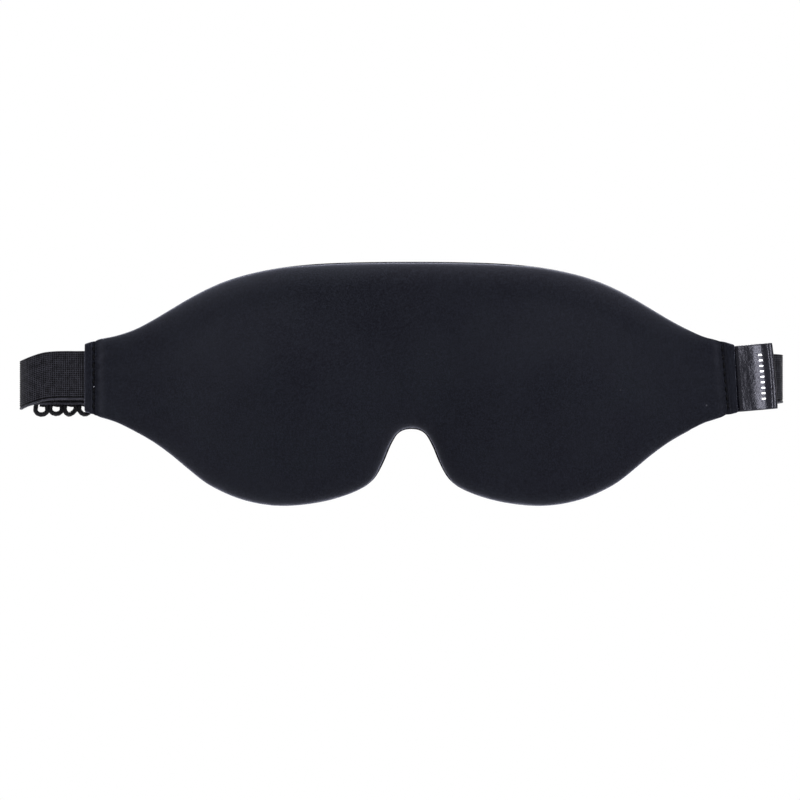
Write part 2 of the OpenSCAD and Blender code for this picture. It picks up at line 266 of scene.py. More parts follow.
def math_node(tree, operation, a, b=None):
    node = add_node(tree, "ShaderNodeMath", operation=operation)
    for slot, value in zip(node.inputs, (a, b)):
        if isinstance(value, bpy.types.NodeSocket):
            tree.links.new(value, slot)
        elif value is not None:
            slot.default_value = value
    return node.outputs[0]


def product(tree, a, b):
    return math_node(tree, "MULTIPLY", a, b)


def difference(tree, a, b):
    return math_node(tree, "SUBTRACT", a, b)


def blend_colour(tree, factor, a, b):
    node = add_node(tree, "ShaderNodeMix", data_type="RGBA", blend_type="MIX")
    sockets = [s for s in node.inputs if s.type == "RGBA"]
    for value, slot in ((factor, node.inputs[0]), (a, sockets[0]), (b, sockets[1])):
        if isinstance(value, bpy.types.NodeSocket):
            tree.links.new(value, slot)
        elif isinstance(value, tuple):
            slot.default_value = (*value, 1)
        else:
            slot.default_value = value
    return [s for s in node.outputs if s.type == "RGBA"][0]


def bump(tree, shader, height, distance, strength=1.0, under=None):
    node = add_node(tree, "ShaderNodeBump")
    node.inputs["Strength"].default_value = strength
    node.inputs["Distance"].default_value = distance
    tree.links.new(height, node.inputs["Height"])
    if under is not None:
        tree.links.new(under, node.inputs["Normal"])
    tree.links.new(node.outputs["Normal"], shader.inputs["Normal"])
    return node.outputs["Normal"]


def noise_texture(tree, vector, scale, detail=3.0, rough=0.5):
    node = add_node(tree, "ShaderNodeTexNoise", Scale=scale, Detail=detail, Roughness=rough)
    tree.links.new(vector, node.inputs["Vector"])
    return node.outputs[0]


def wave(tree, vector, axis, pitch):
    """Stripes across one axis, one for each pitch in metres."""
    node = add_node(tree, "ShaderNodeTexWave", wave_type="BANDS", bands_direction=axis, wave_profile="SIN")
    node.inputs["Scale"].default_value = 0.314 / pitch
    tree.links.new(vector, node.inputs["Vector"])
    return node.outputs[1]


def knit_material(name, colour, tint, sheen, lint):
    """Finely brushed knit: ribs of loops under a short nap, uneven dye, and a little lint."""
    material, tree, shader = node_material(
        name, colour, 0.9, Sheen_Weight=sheen, Sheen_Roughness=0.32, Specular_IOR_Level=0.03)
    shader.inputs["Sheen Tint"].default_value = (0.66, 0.68, 0.9, 1)
    place = coordinates(tree, "Object")
    patches = noise_texture(tree, place, 34, 2)
    nap = noise_texture(tree, place, 2000, 3, 0.7)
    dyed = ramp(tree, patches, 0.36, 0.66, colour, tint)
    fibres = ramp(tree, nap, 0.42, 0.62, BLACK, WHITE)
    flecked = blend_colour(tree, fibres, dyed, tuple(c * 2.0 for c in tint))
    specks = add_node(tree, "ShaderNodeTexVoronoi", Scale=150.0, Randomness=1.0)
    tree.links.new(place, specks.inputs["Vector"])
    speck = ramp(tree, specks.outputs["Distance"], 0.03, 0.06, WHITE, BLACK)
    rare = ramp(tree, noise_texture(tree, place, 55, 2), 0.6, 0.66, BLACK, WHITE)
    share = product(tree, product(tree, speck, rare), lint)
    tree.links.new(blend_colour(tree, share, flecked, (0.09, 0.09, 0.105)), shader.inputs["Base Color"])
    wales = wave(tree, place, "X", 0.42 * MM)
    courses = wave(tree, place, "Z", 0.34 * MM)
    loops = product(tree, wales, courses)
    height = math_node(tree, "ADD", product(tree, loops, 0.5), nap)
    bump(tree, shader, height, 0.12 * MM, 0.55)
    return material


def webbing_material(name, colour, light):
    """Woven elastic in the band's own UV metres: a square mesh of cords, and a plain selvedge below it. The
    gaps between the cords and the groove beside the selvedge are sunk in the bump and blackened in the
    colour as painted shade.
    """
    material, tree, shader = node_material(name, colour, 0.5, Specular_IOR_Level=0.02)
    place = coordinates(tree, "UV")
    along = wave(tree, place, "X", WEAVE)
    across = wave(tree, place, "Y", WEAVE)
    parts = add_node(tree, "ShaderNodeSeparateXYZ")
    tree.links.new(place, parts.inputs[0])
    from_edge = math_node(tree, "ADD", parts.outputs[1], STRAP_W / 2)
    woven = math_node(tree, "GREATER_THAN", from_edge, SELVEDGE)
    gutter = math_node(tree, "COMPARE", from_edge, SELVEDGE)
    gutter.node.inputs[2].default_value = 0.22 * MM
    holes = product(tree, difference(tree, 1.0, along), difference(tree, 1.0, across))
    open_mesh = ramp(tree, holes, 0.04, 0.38, BLACK, WHITE)
    # painted shade: the gaps and the groove are made blacker in the colour as well as lower in the bump
    sunk_gaps_painted_shade = math_node(tree, "MAXIMUM", product(tree, open_mesh, woven), product(tree, gutter, 0.8))
    uneven = noise_texture(tree, place, 500, 2)
    shade = difference(tree, product(tree, uneven, 1.7), product(tree, sunk_gaps_painted_shade, 1.5))
    tree.links.new(ramp(tree, shade, 0.0, 1.0, colour, light), shader.inputs["Base Color"])
    bump(tree, shader, difference(tree, 1.0, sunk_gaps_painted_shade), 0.3 * MM, 0.9)
    return material


def cord_material(name, colour, light):
    material, tree, shader = node_material(name, colour, 0.6, Specular_IOR_Level=0.04)
    place = coordinates(tree, "Object")
    fibres = noise_texture(tree, place, 2600, 2)
    tree.links.new(ramp(tree, fibres, 0.35, 0.7, colour, light), shader.inputs["Base Color"])
    bump(tree, shader, fibres, 0.08 * MM, 0.6)
    return material


def foam_material(name):
    material, tree, shader = node_material(name, (0.03, 0.03, 0.034), 0.95, Specular_IOR_Level=0.2)
    cells = add_node(tree, "ShaderNodeTexVoronoi", Scale=1600.0)
    tree.links.new(coordinates(tree, "Object"), cells.inputs["Vector"])
    # painted shade: each cell is blackest at its middle, where the bump sinks it into a pit
    tree.links.new(
        ramp(tree, cells.outputs["Distance"], 0.1, 0.7, (0.012, 0.012, 0.014), (0.05, 0.05, 0.055)),
        shader.inputs["Base Color"])
    bump(tree, shader, cells.outputs["Distance"], 0.2 * MM, 0.8)
    return material


def label_material(name):
    """Glossy coated satin: fine weave lines under a shine that creases break up."""
    material, tree, shader = node_material(name, (0.0006, 0.0006, 0.0012), 0.28, Specular_IOR_Level=0.16)
    shader.inputs["Specular Tint"].default_value = (0.84, 0.84, 1, 1)
    place = coordinates(tree, "UV")
    floats = coordinates(tree, "UV", (1, 0.35, 1))
    grain = noise_texture(tree, floats, 3200, 3, 0.6)
    creases = noise_texture(tree, place, 420, 3, 0.6)
    tree.links.new(ramp(tree, grain, 0.35, 0.65, (0.18,) * 3, (0.32,) * 3), shader.inputs["Roughness"])
    broad = bump(tree, shader, creases, 0.12 * MM, 0.5)
    bump(tree, shader, grain, 0.05 * MM, 0.9, under=broad)
    return material


def plastic_material(name):
    material, tree, shader = node_material(name, (0.006, 0.006, 0.007), 0.42, Specular_IOR_Level=0.3)
    texture = noise_texture(tree, coordinates(tree, "Object"), 2200, 2)
    tree.links.new(ramp(tree, texture, 0.3, 0.7, (0.36,) * 3, (0.55,) * 3), shader.inputs["Roughness"])
    bump(tree, shader, texture, 0.03 * MM, 0.5)
    return material


def ink_material(name):
    material, tree, shader = node_material(name, (0.62, 0.62, 0.64), 0.45)
    worn = noise_texture(tree, coordinates(tree, "Object"), 1400, 2)
    faded = ramp(tree, worn, 0.3, 0.6, (0.45, 0.45, 0.47), (0.72, 0.72, 0.74))
    tree.links.new(faded, shader.inputs["Base Color"])
    return material


FACE = knit_material("face_knit", (0.0009, 0.0009, 0.0018), (0.0016, 0.0018, 0.0028), 0.2, 0.2)
LINING = knit_material("lining_knit", (0.0014, 0.0014, 0.0020), (0.0020, 0.0020, 0.0028), 0.08, 0.3)
EDGE = knit_material("cut_edge", (0.0005, 0.0005, 0.0008), (0.0009, 0.0009, 0.0013), 0.0, 0.0)
FOAM = foam_material("foam")
ELASTIC = webbing_material("elastic", (0.0002, 0.0002, 0.0003), (0.0116, 0.0116, 0.0150))
CORD = cord_material("cord", (0.0006, 0.0006, 0.0009), (0.0034, 0.0034, 0.0046))
# near-black thread; along the hem grooves it also stands in for their shade, as painted shade
THREAD = cord_material("thread", (0.0003, 0.0003, 0.0006), (0.0008, 0.0008, 0.0013))
# painted highlight: pale colour for the thread ends, standing in for the glint of light on them
GLINT_THREAD = cord_material("painted_glint_thread", (0.35, 0.35, 0.4), (0.6, 0.6, 0.65))
LABEL = label_material("label_satin")
INK = ink_material("label_ink")
PLASTIC = plastic_material("hook_plastic")


def finish_piece(obj, material, slot, *nodes):
    obj.data.materials.append(material)
    if nodes:
        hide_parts(*nodes)
    return obj


# ---------------------------------------------------------------- the padded body
WING_START = 66 * MM  # the panels thin out from here to the hem
EDGE_HALF = 1.15 * MM  # half the thickness of the pressed edge
COVER_T = 0.5 * MM
GROOVE_X = HALF_LEN + 0.7 * MM  # where the panels meet the stitched groove of each hem
GROOVE_HALF = 0.55 * MM  # half the thickness that is left there
RIGHT_TILT = math.radians(5.5)
EYE_X, EYE_Z = 41 * MM, -4 * MM
COLUMNS, ROWS = 300, 61


def thinning(x):
    return smooth((np.abs(x) - WING_START) / (HALF_LEN - WING_START))


def lip(x, low):
    """How far the edge shows past the front cover: most round the notch and along the top's middle."""
    x = np.asarray(x, float)
    uneven = 0.16 * MM * bumps(np.stack([x, x * 0 + low, x * 0], -1), 3.5 * MM, 2.0) if low else 0
    notch = 0.4 * MM * (1 - smooth((np.abs(x) - 10 * MM) / (8 * MM)))
    middle = 0.3 * MM * (1 - smooth((np.abs(x) - 34 * MM) / (14 * MM)))
    return 0.2 * MM + uneven + (notch if low else middle)


def edge_line(xs, low, inset):
    """Points [x, z] of one edge, moved inwards by inset."""
    curve = lower_edge if low else upper_edge
    slope = curve.slope(xs)
    inward = unit(np.stack([-slope, np.ones_like(slope)], 1)) * (1 if low else -1)
    return np.stack([xs, curve(xs)], 1) + inward * np.asarray(inset).reshape(-1, 1)


def even_columns(count, reach=HALF_LEN):
    """x of each column: even along the lower edge, and crowded at the two ends."""
    xs = np.linspace(-reach, reach, 6000)
    crowd = 1 + 5 * np.exp(-(reach - np.abs(xs[1:])) / (2 * MM))
    length = np.concatenate([[0], np.cumsum(np.hypot(np.diff(xs), np.diff(lower_edge(xs))) * crowd)])
    return np.interp(np.linspace(0, length[-1], count), length, xs)


def distance_to(points, line):
    """Shortest distance from each [x, z] to a line of [x, z] points."""
    a, b = line[:-1], line[1:]
    ab = b - a
    best = np.full(len(points), 1e9)
    for k in range(0, len(points), 1500):
        p = points[k:k + 1500, None, :]
        t = np.clip(((p - a) * ab).sum(2) / (ab * ab).sum(1), 0, 1)
        best[k:k + 1500] = np.linalg.norm(p - (a + ab * t[..., None]), axis=2).min(1)
    return best


def askew(x, z):
    """How far the right-hand end is drawn in, because its tab is sewn on askew."""
    return -(1.5 * MM + z * math.tan(RIGHT_TILT)) * smooth((x - (GROOVE_X - 16 * MM)) / (16 * MM))


class Panel:
    """A grid of [x, z] that fills the outline, with each point's distance to its two edges."""

    def __init__(self, count, tall, inset):
        xs = even_columns(count, GROOVE_X)
        low, high = edge_line(xs, True, inset(xs, True)), edge_line(xs, False, inset(xs, False))
        t = (1 - np.cos(np.pi * np.linspace(0, 1, tall))) / 2
        self.shape = (count, tall)
        grid = low[:, None, :] * (1 - t[None, :, None]) + high[:, None, :] * t[None, :, None]
        self.flat = grid.reshape(-1, 2)
        self.end = smooth((GROOVE_X - np.abs(self.flat[:, 0])) / (4.2 * MM))
        self.flat[:, 0] += askew(self.flat[:, 0], self.flat[:, 1])
        self.x, self.z = self.flat.T
        dense = np.linspace(xs[0] - 6 * MM, xs[-1] + 6 * MM, 900)
        self.low = distance_to(self.flat, edge_line(dense, True, inset(dense, True)))
        self.high = distance_to(self.flat, edge_line(dense, False, inset(dense, False)))

    def crown(self, r):
        return rounding(self.low, r) * rounding(self.high, r)

    def rise(self, r):
        """As crown, but with a soft foot as well as a soft top."""
        return smooth(self.low / r) * smooth(self.high / r)

    def points(self, y):
        return np.stack([self.x, y, self.z], 1)


def front_surface(p):
    """y of the mask's face: a rolled edge, a gentle crown and two eye domes."""
    thin = thinning(p.x)
    roll = mix(6.4 * MM, 1.6 * MM, thin) * p.crown(mix(9.5 * MM, 4.0 * MM, thin))
    crown = mix(1.6 * MM, 0, thin) * p.rise(22 * MM)
    q = np.hypot((np.abs(p.x) - 47 * MM) / (40 * MM), (p.z - EYE_Z) / (33 * MM))
    dome = 6.6 * MM * smooth(1.12 - q) * p.rise(15 * MM)
    middle = np.exp(-((p.x / (9 * MM)) ** 2) - ((p.z - 4 * MM) / (20 * MM)) ** 2)
    bridge = 1.2 * MM * middle * p.rise(18 * MM)
    return seam_depth(p.x) - mix(GROOVE_HALF, EDGE_HALF + roll, p.end) - crown - dome - bridge


def back_surface(p):
    """y of the skin side: a padded ring with an eye cavity on each side of the nose."""
    thin = thinning(p.x)
    roll = mix(4.2 * MM, 1.2 * MM, thin) * p.crown(mix(7 * MM, 3.5 * MM, thin))
    crown = mix(1.8 * MM, 0, thin) * p.rise(12 * MM)
    q = np.hypot((np.abs(p.x) - EYE_X) / (27 * MM), (p.z - EYE_Z) / (22 * MM))
    cavity = 15 * MM * smooth((1 - q) / 0.62)
    return seam_depth(p.x) + mix(GROOVE_HALF, EDGE_HALF + roll, p.end) + crown - cavity


def handmade(p, y, side):
    """The small unevenness of moulded foam, and of cloth drawn in at the hems."""
    here = p.points(np.zeros(len(p.x)))
    swell = bumps(here, 31 * MM, side * 9.1) * 0.35 * MM + bumps(here, 12 * MM, side * 5.3) * 0.12 * MM
    from_hem = HALF_LEN - np.abs(p.x)
    angle = np.arctan2(p.z, from_hem + 14 * MM)
    gathers = np.sin(angle * 21 + side + np.sign(p.x)) * 0.22 * MM * np.exp(-from_hem / (13 * MM))
    return y - side * (swell + gathers) * p.rise(7 * MM)


def cover(name, side, surface, inset, material, slot, node):
    """side is 1 for the front and -1 for the back."""
    panel = Panel(COLUMNS, ROWS, inset)
    y = handmade(panel, surface(panel), side)
    obj = make_mesh(name, panel.points(y), grid_faces(COLUMNS, ROWS, flip=side < 0))
    add_modifier(obj, "SOLIDIFY", thickness=COVER_T, offset=-1.0)
    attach(obj, "mask")
    return finish_piece(obj, material, slot, node)


front_cover = cover("front_cover", 1, front_surface, lip, FACE, "face_fabric", "front_fabric")
back_cover = cover(
    "back_cover", -1, back_surface, lambda x, low: 0.1 * MM, LINING, "lining_fabric", "back_fabric")


def pad(name, outer, sign, node):
    """The foam inside one cover, from just under the cloth to the middle of the mask."""
    panel = Panel(110, 25, lambda x, low: 1.3 * MM)
    skin = outer(panel) + sign * (COVER_T + 0.1 * MM)
    middle = (front_surface(panel) + back_surface(panel)) / 2 + sign * 0.05 * MM
    count, tall = panel.shape
    points = np.concatenate([panel.points(skin), panel.points(middle)])
    size = count * tall
    faces = grid_faces(count, tall, flip=sign < 0) + grid_faces(count, tall, start=size, flip=sign > 0)
    ring = [c * tall for c in range(count)] + [(count - 1) * tall + r for r in range(1, tall)]
    ring += [c * tall + tall - 1 for c in range(count - 2, -1, -1)] + list(range(tall - 2, 0, -1))
    for a, b in zip(ring, ring[1:] + ring[:1]):
        quad = (a, b, b + size, a + size)
        faces.append(quad[::-1] if sign > 0 else quad)
    obj = make_mesh(name, points, faces, "mask")
    return finish_piece(obj, FOAM, "foam", node)


pad("front_pad", front_surface, 1, "front_foam")
pad("back_pad", back_surface, -1, "back_foam")


# ---------------------------------------------------------------- the pressed edge
def edge_bead(low, inset, depth, wide, thick, seed):
    """A thin bead along one edge of the mask; inset is from the outline to its middle."""
    xs = even_columns(360)
    line = edge_line(xs, low, inset(xs, low))
    line[:, 0] += askew(line[:, 0], line[:, 1])
    taper = rounding(HALF_LEN - np.abs(xs) + 0.1 * MM, 2 * MM)
    path = np.stack([line[:, 0], seam_depth(xs) + depth * taper, line[:, 1]], 1)
    ragged = taper * (1 + 0.16 * bumps(path, 1.6 * MM, seed) + 0.1 * bumps(path, 0.7 * MM, seed + 3))
    along = unit(np.gradient(path, axis=0))
    out = unit(np.cross(along, [0, 1, 0])) * (1 if low else -1)
    through = np.cross(along, out)
    angles = np.linspace(0, 2 * np.pi, 12, endpoint=False)
    rings = [
        [p + r * (wide * math.cos(a) * o + thick * math.sin(a) * t) for a in angles]
        for p, o, t, r in zip(path, out, through, ragged)
    ]
    return ring_tube(rings)


def bead_pair(name, inset, depth, wide, thick, seed, material):
    parts = [edge_bead(low, inset, depth, wide, thick, seed + low) for low in (True, False)]
    obj = make_mesh(name, *join(parts), "mask")
    return finish_piece(obj, material, "edge", "edge_seam")


bead_pair("edge_front", lambda x, low: lip(x, low) + 0.25 * MM, -0.62 * MM, 0.55 * MM, 0.5 * MM, 1.0, EDGE)
bead_pair("edge_foam", lambda x, low: 0.85 * MM, 0.0, 0.7 * MM, 0.45 * MM, 4.0, FOAM)
bead_pair("edge_back", lambda x, low: 0.5 * MM, 0.62 * MM, 0.55 * MM, 0.5 * MM, 8.0, EDGE)


# ---------------------------------------------------------------- hems
HEM_START = HALF_LEN + 0.6 * MM
HEM_ANGLE = math.atan(float(seam_depth.slope(HALF_LEN - 0.3 * MM)))


def hem_place(side):
    """From a hem's own axes (x along the wing, y through it, z up) to the row frame."""
    depth = float(seam_depth(HALF_LEN)) + math.tan(HEM_ANGLE) * 0.6 * MM
    origin = Matrix.Translation((side * HEM_START, depth, 0))
    return origin @ Matrix.Rotation(side * HEM_ANGLE, 4, "Z") @ Matrix.Diagonal((side, 1, 1, 1))


def placed(matrix, points):
    m = np.array(matrix)
    return np.asarray(points) @ m[:3, :3].T + m[:3, 3]


def hem_tab(name, side, top, bottom, node):
    """A folded tab: a roll of cloth between the stitched groove and its outer edge.

    top and bottom are the heights of its outer corners; its inner corners lie on the mask's own outline.
    """
    profile = [
        (-0.8, 0.4), (0.0, 0.42), (0.95, 0.45), (1.15, 0.9), (1.3, 1.5), (1.6, 1.95), (2.1, 2.2),
        (2.7, 2.2), (3.3, 2.1), (3.65, 1.9), (3.8, 1.6), (3.86, 1.1), (3.86, 0.35),
    ]
    inner_top, inner_bottom = float(upper_edge(side * HALF_LEN)), float(lower_edge(side * HALF_LEN))
    outline = [(x, -y) for x, y in profile] + profile[::-1]
    count = 48
    rings = []
    for i in range(count):
        t = i / (count - 1)
        from_end = min(t, 1 - t) * (top - bottom)
        end = float(rounding(from_end + 0.12 * MM, 1.3 * MM))
        ring = []
        for x, y in outline:
            share = float(smooth(x / 3.8))
            z = mix(mix(inner_bottom, bottom, share), mix(inner_top, top, share), t)
            skew = float(askew(GROOVE_X, z)) if side > 0 else 0.0
            drawn_in = mix(1.0, 0.55, share) * skew
            wobble = 0.14 * MM * noise.noise(Vector((z / (3.2 * MM), side * 3.0, 0))) * share
            ring.append((x * MM + drawn_in + wobble, y * MM * mix(0.5, 1.0, end), z))
        rings.append(ring)
    points, faces = ring_tube(rings)
    obj = make_mesh(name, placed(hem_place(side), points), faces)
    if side > 0:
        obj.data.flip_normals()
    add_modifier(obj, "SUBSURF", levels=1, render_levels=1)
    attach(obj, "mask")
    return finish_piece(obj, FACE, "face_fabric", node)


hem_tab("left_hem_tab", -1, 12.6 * MM, -12.7 * MM, "left_hem")
hem_tab("right_hem_tab", 1, 12.3 * MM, -13.1 * MM, "right_hem")


def thread_stitch(a, b, radius, up, plies=2, turns=1.6):
    """One stitch from a to b, arched towards up, of plied thread."""
    a, b, up = np.array(a, float), np.array(b, float), np.array(up, float)
    along = unit(b - a)
    side = np.cross(along, up)
    count, sides = 15, 10
    rings = []
    for i in range(count):
        t = i / (count - 1)
        middle = mix(a, b, t) + up * radius * (1.5 * math.sin(math.pi * t) - 0.9)
        taper = max(0.12, math.sin(math.pi * min(max(t, 0.03), 0.97)) ** 0.3)
        ring = []
        for k in range(sides):
            angle = 2 * math.pi * k / sides
            lobe = 1 + 0.2 * math.cos(plies * (angle - turns * 2 * math.pi * t))
            ring.append(middle + radius * taper * lobe * (math.cos(angle) * side + math.sin(angle) * up))
        rings.append(ring)
    return ring_tube(rings)


def groove_point(side, height, depth):
    """A point in a hem's groove, depth in front of its middle."""
    skew = float(askew(GROOVE_X, height)) if side > 0 else 0.0
    return placed(hem_place(side), [(0.55 * MM + skew, depth, height)])[0]


def groove_stitches_and_shade(name, side, node):
    # painted shade: near-black stitches, wide and close together, line the floor of each hem's groove; they
    # are real stitching and also stand in for the groove's shade
    parts = []
    count, pitch, length = 8, 3.0 * MM, 2.3 * MM
    for i in range(count):
        z = (i - (count - 1) / 2) * pitch
        for face in (-1, 1):
            a, b = (groove_point(side, z + end * length / 2, face * 0.66 * MM) for end in (-1, 1))
            up = np.array(hem_place(side))[:3, :3] @ (0, face, 0)
            parts.append(thread_stitch(a, b, 0.36 * MM, up))
    obj = make_mesh(name, *join(parts), "mask")
    return finish_piece(obj, THREAD, "thread", node)


groove_stitches_and_shade("left_groove_thread_shade", -1, "left_hem_stitches")
groove_stitches_and_shade("right_groove_thread_shade", 1, "right_hem_stitches")


def thread_end(name, side, height, along):
    """The end of a thread that stands out of the stitching, coloured pale as a painted glint of light on it.
    """
    start = groove_point(side, height, -0.9 * MM) + np.array([along * MM, 0, 0])
    end = start + np.array([side * -0.3, -0.7, 0.4]) * MM
    obj = make_mesh(name, *thread_stitch(start, end, 0.15 * MM, (0, -1, 0)), "mask")
    return finish_piece(obj, GLINT_THREAD, "thread")


thread_end("left_glint_thread_end", -1, -3.6 * MM, 0)
thread_end("right_glint_thread_end", 1, -2.4 * MM, 3.2)


# ---------------------------------------------------------------- elastic webbing
def resample(path, step):
    path = np.asarray(path, float)
    length = np.concatenate([[0], np.cumsum(np.linalg.norm(np.diff(path, axis=0), axis=1))])
    count = max(int(round(length[-1] / step)) + 1, 3)
    at = np.linspace(0, length[-1], count)
    return np.stack([np.interp(at, length, path[:, k]) for k in range(3)], 1), at


def webbing(name, path, wide, thick, step=0.8 * MM, lean=None):
    """A flat band whose faces carry ribs along it, with a plain selvedge along its lower edge.

    path is a list of points of its middle. lean tips it towards its own direction, in radians for each
    point.
    """
    line, at = resample(path, step)
    if lean is not None:
        source = np.concatenate([[0], np.cumsum(np.linalg.norm(np.diff(path, axis=0), axis=1))])
        lean = np.interp(at, source, lean)
    else:
        lean = np.zeros(len(line))
    along = unit(np.gradient(line, axis=0) * [1, 1, 0])
    normal = np.cross(along, [0, 0, 1])
    v = np.linspace(-wide / 2, wide / 2, round(wide / WEAVE) * 4 + 1)
    ribbed = thick / 2 * (0.86 - 0.14 * np.cos(2 * np.pi * v / WEAVE))
    from_edge = v + wide / 2
    ribbed = mix(thick / 2 * 0.98, ribbed, smooth((from_edge - SELVEDGE) / (0.2 * MM)))
    ribbed *= 1 - 0.35 * np.exp(-(((from_edge - SELVEDGE) / (0.2 * MM)) ** 2))
    ribbed[0] = ribbed[-1] = thick * 0.25
    loop_v = np.concatenate([v, v[::-1]])
    loop_w = np.concatenate([ribbed, -ribbed[::-1]])
    rings, uvs = [], []
    for p, u, d, n, tip in zip(line, at, along, normal, lean):
        up = np.array([0, 0, 1]) * math.cos(tip) + d * math.sin(tip)
        wander = 0.12 * MM * noise.noise(Vector((u / (5 * MM), wide * 100, 0.5)))
        sway = 0.12 * MM * noise.noise(Vector((u / (4 * MM), wide * 100, 8.5)))
        rings.append(p + n * (loop_w[:, None] + wander) + up * (loop_v + sway)[:, None])
        uvs.extend([(u, x) for x in loop_v])
    points, faces = ring_tube(rings)
    obj = make_mesh(name, points, faces, uvs=uvs)
    return obj


FOLD_R = 6.5 * MM


def side_path(side):
    """A strap's line from inside its hem, out along the wing, round its fold and on to the rear strap."""
    name = "left_elastic_side" if side < 0 else "right_elastic_side"
    low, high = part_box(name)
    reach = (-low.x if side < 0 else high.x) - STRAP_T / 2
    rear = rear_left if side < 0 else rear_right
    start = placed(hem_place(side), [(0.7 * MM, 0, 0)])[0]
    back = abs(math.atan(float(rear.slope(side * (reach - FOLD_R)))))
    cx = reach - FOLD_R
    tangent_x = cx + FOLD_R * math.sin(HEM_ANGLE)
    cy = start[1] + math.tan(HEM_ANGLE) * (tangent_x - abs(start[0])) + FOLD_R * math.cos(HEM_ANGLE)
    tangent_y = cy - FOLD_R * math.cos(HEM_ANGLE)
    flat = [
        (mix(abs(start[0]), tangent_x, t), mix(start[1], tangent_y, t))
        for t in np.linspace(0, 0.95, 12)
    ]
    turn = [
        (cx + FOLD_R * math.sin(a), cy - FOLD_R * math.cos(a))
        for a in np.linspace(HEM_ANGLE, math.pi - back, 40)
    ]
    return np.array([(side * x, y, 0.0) for x, y in flat + turn])


rear_left = band_line("left_elastic_rear")
rear_right = band_line("right_elastic_rear", "right_elastic_take_up")
SIDE_Z = {-1: 0.8 * MM, 1: 0.0}
FOLD_DIP = {-1: -2.9 * MM, 1: -0.5 * MM}
REAR_Z = (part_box("left_elastic_rear")[0].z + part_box("left_elastic_rear")[1].z) / 2


def with_heights(side, path):
    """Lets the strap's middle dip as it goes out to its fold, and come up to the rear strap's height."""
    out = np.abs(path[:, 0])
    furthest = int(np.argmax(out))
    share = np.clip(1 - (out[furthest] - out) / (14 * MM), 0, 1) ** 1.9
    z = np.where(
        np.arange(len(path)) <= furthest,
        mix(SIDE_Z[side], FOLD_DIP[side], share),
        0.0)
    behind = np.linspace(0, 1, len(path) - furthest)
    z[furthest:] = mix(FOLD_DIP[side], REAR_Z, smooth(behind))
    path[:, 2] = z
    return path


def left_strap():
    """The whole left-hand elastic, from its hem to its free end behind the mask."""
    path = with_heights(-1, side_path(-1))
    end_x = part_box("left_elastic_rear")[1].x
    xs = np.linspace(path[-1][0] + 1 * MM, end_x, 90)
    rear = np.stack([xs, rear_left(xs), np.full_like(xs, REAR_Z)], 1)
    obj = webbing("left_strap", np.concatenate([path, rear]), STRAP_W, STRAP_T)
    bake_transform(obj)
    finish_piece(obj, ELASTIC, "elastic", "left_elastic_side", "left_elastic_rear")


def right_side_strap():
    path = with_heights(1, side_path(1))
    lean = -RIGHT_TILT * 0.6 * (1 - smooth((np.arange(len(path)) - 30) / (len(path) - 31)))
    obj = webbing("right_side_strap", path, STRAP_W, STRAP_T, lean=lean)
    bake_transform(obj)
    finish_piece(obj, ELASTIC, "elastic", "right_elastic_side")


def right_rear_strap():
    """From the right-hand fold to the sewn end."""
    start_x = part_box("right_elastic_rear")[1].x
    end_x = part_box("right_elastic_take_up")[0].x
    xs = np.linspace(start_x - 0.05 * MM, end_x, 200)
    path = np.stack([xs, rear_right(xs), np.full_like(xs, REAR_Z)], 1)
    obj = webbing("right_rear_strap", path, STRAP_W, STRAP_T)
    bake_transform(obj)
    finish_piece(obj, ELASTIC, "elastic", "right_elastic_rear", "right_elastic_take_up")


left_strap()
right_side_strap()
right_rear_strap()


# ---------------------------------------------------------------- loop tape and its cord loops
TAPE_W, TAPE_T = 9 * MM, 0.7 * MM
LOOP_PITCH, CORD_R = 5.4 * MM, 0.92 * MM
LOOP_YAWS = (16, 34, 58, 50)  # degrees that each four loops are turned by
tape_low, tape_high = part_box("loop_tape")
loops_low, loops_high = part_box("adjust_loops")
TAPE_OFF = (STRAP_T + TAPE_T) / 2
rear_m = float(rear_left.slope((tape_low.x + tape_high.x) / 2))
rear_along = unit(np.array([1, rear_m, 0]))
rear_out = np.array([-rear_along[1], rear_along[0], 0])
loop_count = round((loops_high.x - loops_low.x) / LOOP_PITCH)
tape_z = (tape_low.z + tape_high.z) / 2


def on_rear(x, off=0.0, z=0.0):
    """A point on the left rear strap at x, off outwards from its middle."""
    return np.array([x, float(rear_left(x)), z]) + rear_out * off


def tape():
    xs = np.linspace(tape_low.x + 0.1 * MM, tape_high.x - 0.1 * MM, 60)
    path = np.array([on_rear(x, TAPE_OFF, tape_z) for x in xs])
    obj = webbing("loop_braid", path, TAPE_W, TAPE_T, step=0.6 * MM)
    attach(obj, "rear_strap")
    finish_piece(obj, CORD, "cord", "loop_tape")


def cord_path(x, swing, width, drop, yaw):
    """A cord loop below the tape at x, as a line of points; yaw turns its opening away from the front."""
    root = 0.3 * MM
    points = []
    for a in np.linspace(0, math.pi, 34):
        out = math.sin(a)
        turn = yaw * out**0.7
        turned = rear_along * math.cos(turn) + rear_out * math.sin(turn)
        across = -math.cos(a) * width * (1 - 0.3 * (1 - out) ** 2)
        down = (drop + root) * out**0.6 - root
        middle = on_rear(x, TAPE_OFF, tape_low.z) + rear_along * swing * out
        points.append(middle + turned * across - np.array([0, 0, down]))
    return np.array(points)


def twisted_cord(path, radius, plies=2, twist=2.6 * MM):
    """A tube of plied cord along a path."""
    line, at = resample(path, 0.35 * MM)
    along = unit(np.gradient(line, axis=0))
    side = unit(np.cross(along, rear_out))
    up = np.cross(side, along)
    sides = 14
    rings = []
    for p, s, u, d in zip(line, side, up, at):
        ring = []
        for k in range(sides):
            angle = 2 * math.pi * k / sides
            lobe = 0.86 + 0.14 * abs(math.cos(plies * 0.5 * (angle - 2 * math.pi * d / twist))) ** 0.7
            ring.append(p + radius * lobe * (math.cos(angle) * s + math.sin(angle) * u))
        rings.append(ring)
    return ring_tube(rings)


